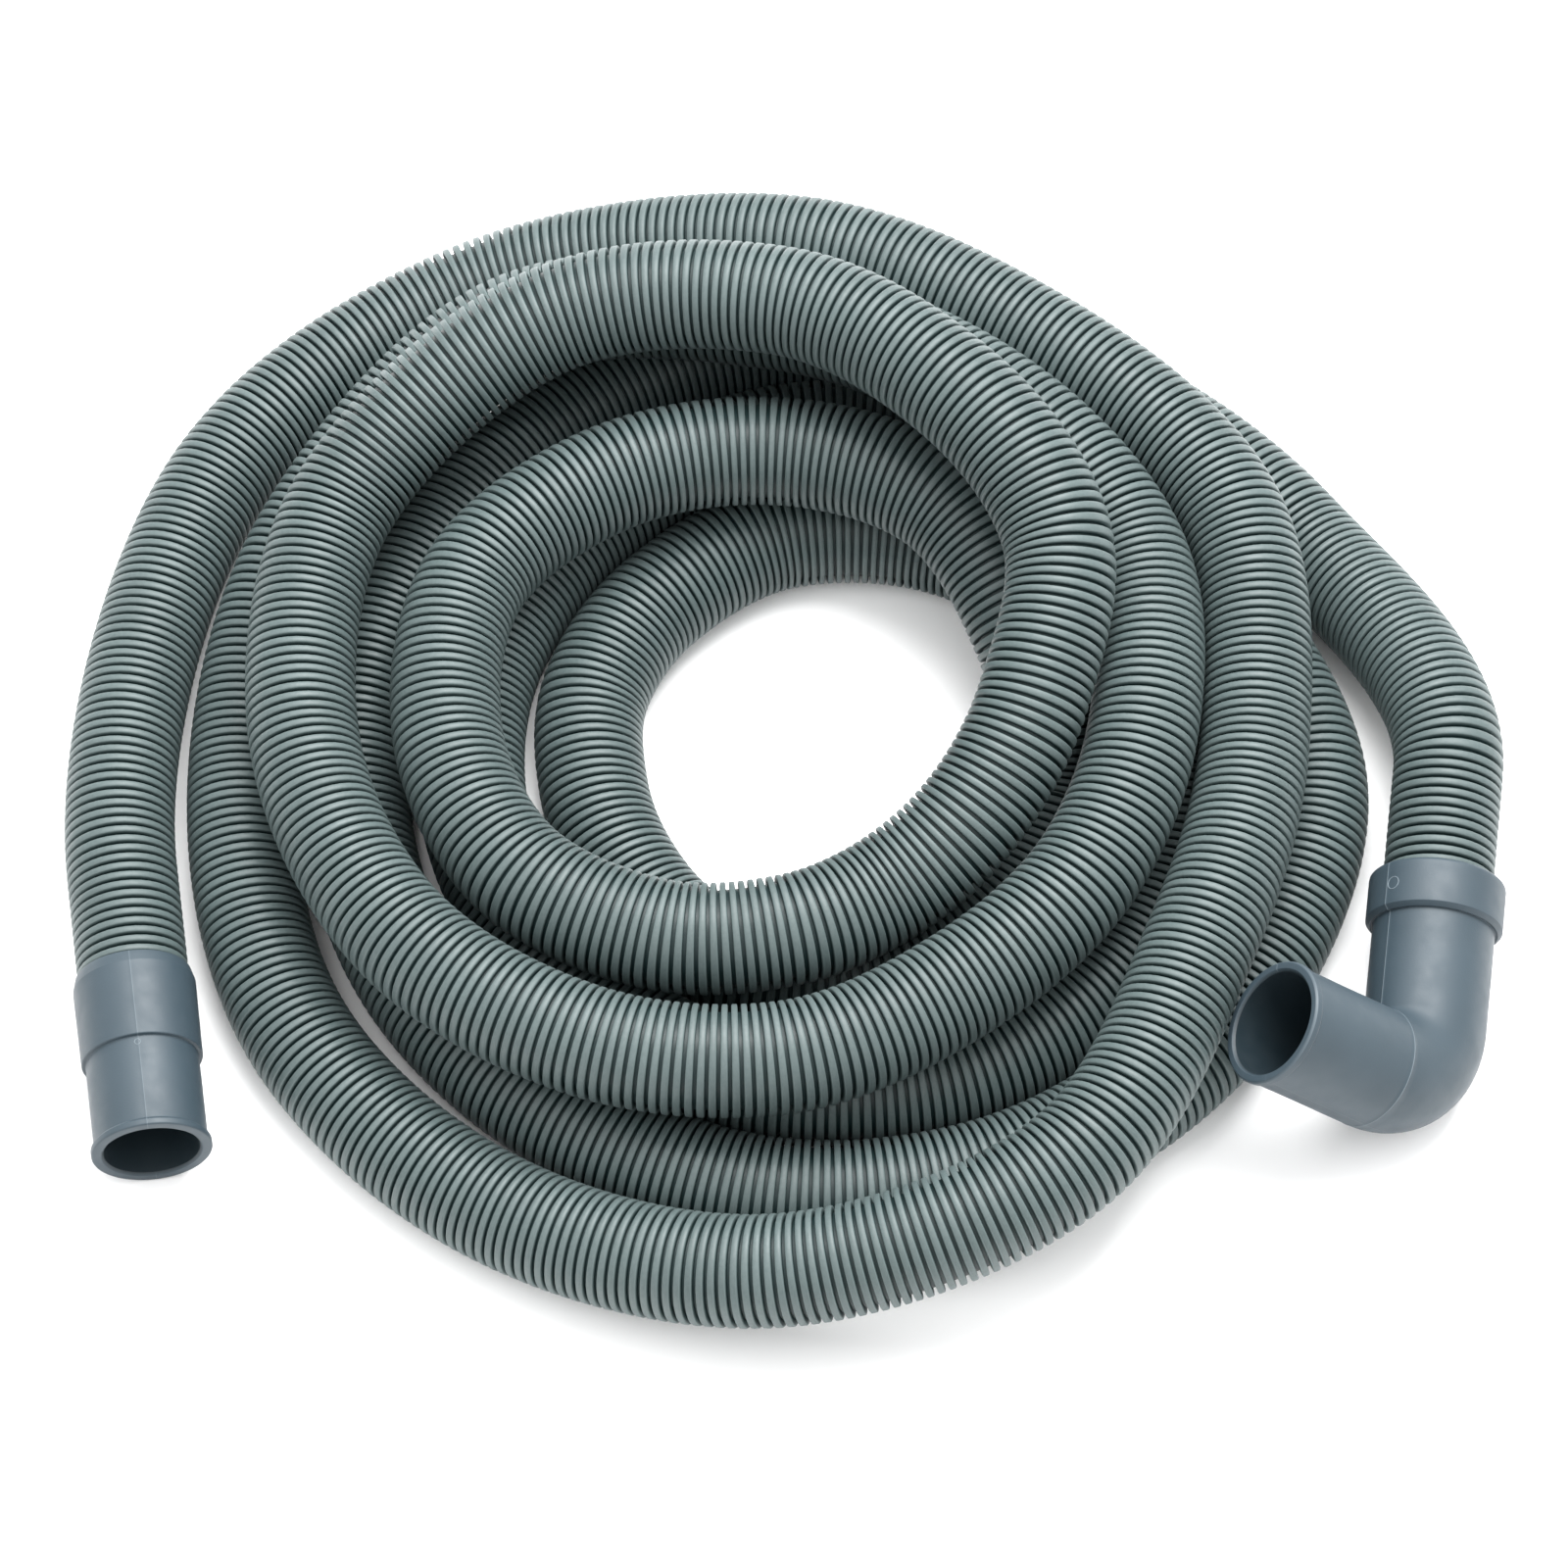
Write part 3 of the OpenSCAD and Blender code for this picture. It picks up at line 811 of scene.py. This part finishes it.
def socket_corners(fitting, hose, bore_radius):
    """Corners of a socket from the stop back to the collar's face, with its grip rings."""
    held = hose.held_ribs * hose.rib_pitch
    half = fitting.grip_length / 2
    corners = [
        (fitting.socket_length, bore_radius, 0.0),
        (fitting.socket_length, fitting.socket_radius, 0.0),
    ]
    for groove in GRIP_GROOVES:
        middle = held - groove * hose.rib_pitch
        corners += [
            (middle + half, fitting.socket_radius, 0.0), (middle + half, fitting.grip_radius, 0.0),
            (middle - half, fitting.grip_radius, 0.0), (middle - half, fitting.socket_radius, 0.0),
        ]
    return corners + [(0.0, fitting.socket_radius, 0.0)]


def straight_place(seat, into, up):
    """Axis of a straight fitting, its first cross direction as near as can be to up."""
    out = (up - into * up.dot(into)).normalized()
    side = into.cross(out)
    return lambda along: (seat + along * into, out, side)


def bent_place(seat, into, arm, leg_length, bend_radius):
    """Axis of the elbow: the leg, a quarter bend and the arm. The first cross direction lies
    on the bend's inner side."""
    side = into.cross(arm)
    hub = seat + leg_length * into + bend_radius * arm
    bend_end = leg_length + bend_radius * pi / 2

    def place(along):
        turn = min(max((along - leg_length) / bend_radius, 0), pi / 2)
        centre = hub - bend_radius * cos(turn) * arm + bend_radius * sin(turn) * into
        if along < leg_length:
            centre += (along - leg_length) * into
        if along > bend_end:
            centre += (along - bend_end) * arm
        return centre, cos(turn) * arm - sin(turn) * into, side

    return place, bend_end


def scene_pvc(scene):
    """The fittings' material, made once."""
    made = bpy.data.materials.get("injection_moulded_soft_pvc")
    return made or moulded_pvc(scene.hose_kit_finishes)


class BuildCuff(bpy.types.Operator):
    """Mould the straight cuff with its socket, step, spigot and lip"""

    bl_idname = "hose_kit.cuff"
    bl_label = "Straight cuff"

    def execute(self, context):
        scene = context.scene
        hose, cuff, fitting = scene.hose_kit_hose, scene.hose_kit_cuff, scene.hose_kit_fitting
        (seat, into), _ = hose_axes(hose)
        place = straight_place(seat, into, Vector((0, 0, 1)))
        lip_radius = cuff.spigot_radius + cuff.lip_height
        lip_start = cuff.length - cuff.lip_length
        # Wall at the collar's thin edge, and lengths of the slopes at the step and the lip
        edge_wall = 0.4 * MM
        step_slope = 0.2 * MM
        lip_slope = 0.3 * MM
        # Corners are (along, radius, rounding)
        outside = [
            (0.0, fitting.socket_radius + edge_wall, 0.15 * MM),
            (cuff.shoulder, cuff.collar_radius, 1.2 * MM),
            (cuff.collar_length, cuff.collar_radius - cuff.draft, 0.5 * MM),
            (cuff.collar_length + step_slope, cuff.spigot_radius, 0.3 * MM),
            (lip_start - lip_slope, cuff.spigot_radius, 0.6 * MM),
            (lip_start + cuff.lip_height / 2, lip_radius, 0.5 * MM),
            (cuff.length, lip_radius, 0.6 * MM),
            (cuff.length, cuff.bore_radius + fitting.mouth_bevel, 0.15 * MM),
        ]
        inside = [(cuff.length - fitting.mouth_bevel, cuff.bore_radius, 0.2 * MM)]
        inside += socket_corners(fitting, hose, cuff.bore_radius)
        outline = closed_outline(outside, inside, longest=2.5 * MM)
        material = scene_pvc(scene)
        # Faint parting lines along the top and the underside
        piece = revolve(
            "straight_cuff_moulding", outline, place, fitting, cuff.spigot_radius,
            seams={0.0: 0.25, pi: 0.25}, flash_rings={}, material=material,
        )
        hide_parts("straight_cuff")
        gate = bead(
            "cuff_gate_mark", place, cuff.spigot_radius, along=cuff.collar_length + 2.2 * MM,
            angle=0.02, ring_radius=0.9 * MM, thickness=0.12 * MM, material=material,
        )
        for part in (piece, gate):
            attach(part, "straight_cuff")
        return {"FINISHED"}


class BuildElbow(bpy.types.Operator):
    """Mould the elbow with its collar, leg, bend, arm and rim"""

    bl_idname = "hose_kit.elbow"
    bl_label = "Elbow"

    def execute(self, context):
        scene = context.scene
        hose, elbow, fitting = scene.hose_kit_hose, scene.hose_kit_elbow, scene.hose_kit_fitting
        _, (seat, into) = hose_axes(hose)
        arm = Vector(MOUNTS["elbow_mouth"]["axis"]).normalized()
        straight_leg = elbow.leg - elbow.bend_radius
        place, bend_end = bent_place(seat, into, arm, straight_leg, elbow.bend_radius)
        mouth = bend_end + elbow.arm - elbow.bend_radius
        rim_radius = elbow.pipe_radius + elbow.rim_height
        rim_start = mouth - elbow.rim_length
        # The arm's core met the mould just past the bend and left a ring there
        ring_seam = bend_end + 0.5 * MM
        ring_slope = 0.2 * MM
        # Flat at the collar's inner edge, and bevel and undercut at its foot
        lead_in = 0.3 * MM
        foot_bevel = 1.4 * MM
        undercut = 0.3 * MM
        # Corners are (along, radius, rounding)
        outside = [
            (0.0, fitting.socket_radius + lead_in, 0.0),
            (0.0, elbow.collar_radius, 1.6 * MM),
            (elbow.collar_length - foot_bevel, elbow.collar_radius, 0.4 * MM),
            (elbow.collar_length, elbow.collar_radius - foot_bevel, 0.2 * MM),
            (elbow.collar_length - undercut, elbow.pipe_radius, 0.2 * MM),
            (ring_seam - ring_slope, elbow.pipe_radius, 0.0),
            (ring_seam, elbow.pipe_radius + fitting.seam_height, 0.0),
            (ring_seam + ring_slope, elbow.pipe_radius, 0.0),
            (rim_start, elbow.pipe_radius, 0.3 * MM),
            (rim_start + elbow.rim_height, rim_radius, 0.3 * MM),
            (mouth - elbow.rim_height, rim_radius, 0.3 * MM),
            (mouth, elbow.pipe_radius, 0.2 * MM),
            (mouth, elbow.bore_radius + fitting.mouth_bevel, 0.15 * MM),
        ]
        inside = [(mouth - fitting.mouth_bevel, elbow.bore_radius, 0.2 * MM)]
        inside += socket_corners(fitting, hose, elbow.bore_radius)
        outline = closed_outline(outside, inside, longest=1.5 * MM)
        material = scene_pvc(scene)
        # The parting line is strong on the bend's inner side, and faint on the outer and the rim
        piece = revolve(
            "elbow_moulding", outline, place, fitting, elbow.pipe_radius, seams={0.0: 0.7, pi: 0.15},
            flash_rings={ring_seam: 0.6, mouth - elbow.rim_height: 0.15}, material=material,
        )
        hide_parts("elbow")
        gate = bead(
            "elbow_gate_mark", place, elbow.collar_radius, along=8 * MM,
            angle=-0.12, ring_radius=2 * MM, thickness=0.14 * MM, material=material,
        )
        for part in (piece, gate):
            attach(part, "elbow")
        return {"FINISHED"}


# ---- add-on ----


class HoseKitPanel(bpy.types.Panel):
    bl_idname = "VIEW3D_PT_hose_kit"
    bl_label = "Sewer hose kit"
    bl_space_type = "VIEW_3D"
    bl_region_type = "UI"
    bl_category = "Hose kit"

    def draw(self, context):
        for name, (_, operator) in GROUPS.items():
            box = self.layout.box()
            settings = getattr(context.scene, name)
            for key in settings.__annotations__:
                box.prop(settings, key)
            if operator:
                box.operator(operator.bl_idname)


# Each group of settings on the scene, with the operator that it belongs to
GROUPS = {
    "hose_kit_stage": (StageSettings, BuildStage),
    "hose_kit_hose": (HoseSizes, BuildHose),
    "hose_kit_cuff": (CuffSizes, BuildCuff),
    "hose_kit_elbow": (ElbowSizes, BuildElbow),
    "hose_kit_fitting": (FittingSizes, None),
    "hose_kit_finishes": (Finishes, None),
}


def register():
    for name, (group, operator) in GROUPS.items():
        bpy.utils.register_class(group)
        setattr(bpy.types.Scene, name, PointerProperty(type=group))
        if operator:
            bpy.utils.register_class(operator)
    bpy.utils.register_class(HoseKitPanel)


def unregister():
    bpy.utils.unregister_class(HoseKitPanel)
    for name, (group, operator) in reversed(GROUPS.items()):
        if operator:
            bpy.utils.unregister_class(operator)
        delattr(bpy.types.Scene, name)
        bpy.utils.unregister_class(group)


def main():
    register()
    bpy.ops.hose_kit.stage()
    bpy.ops.hose_kit.hose()
    bpy.ops.hose_kit.cuff()
    bpy.ops.hose_kit.elbow()


if __name__ == "__main__":
    main()
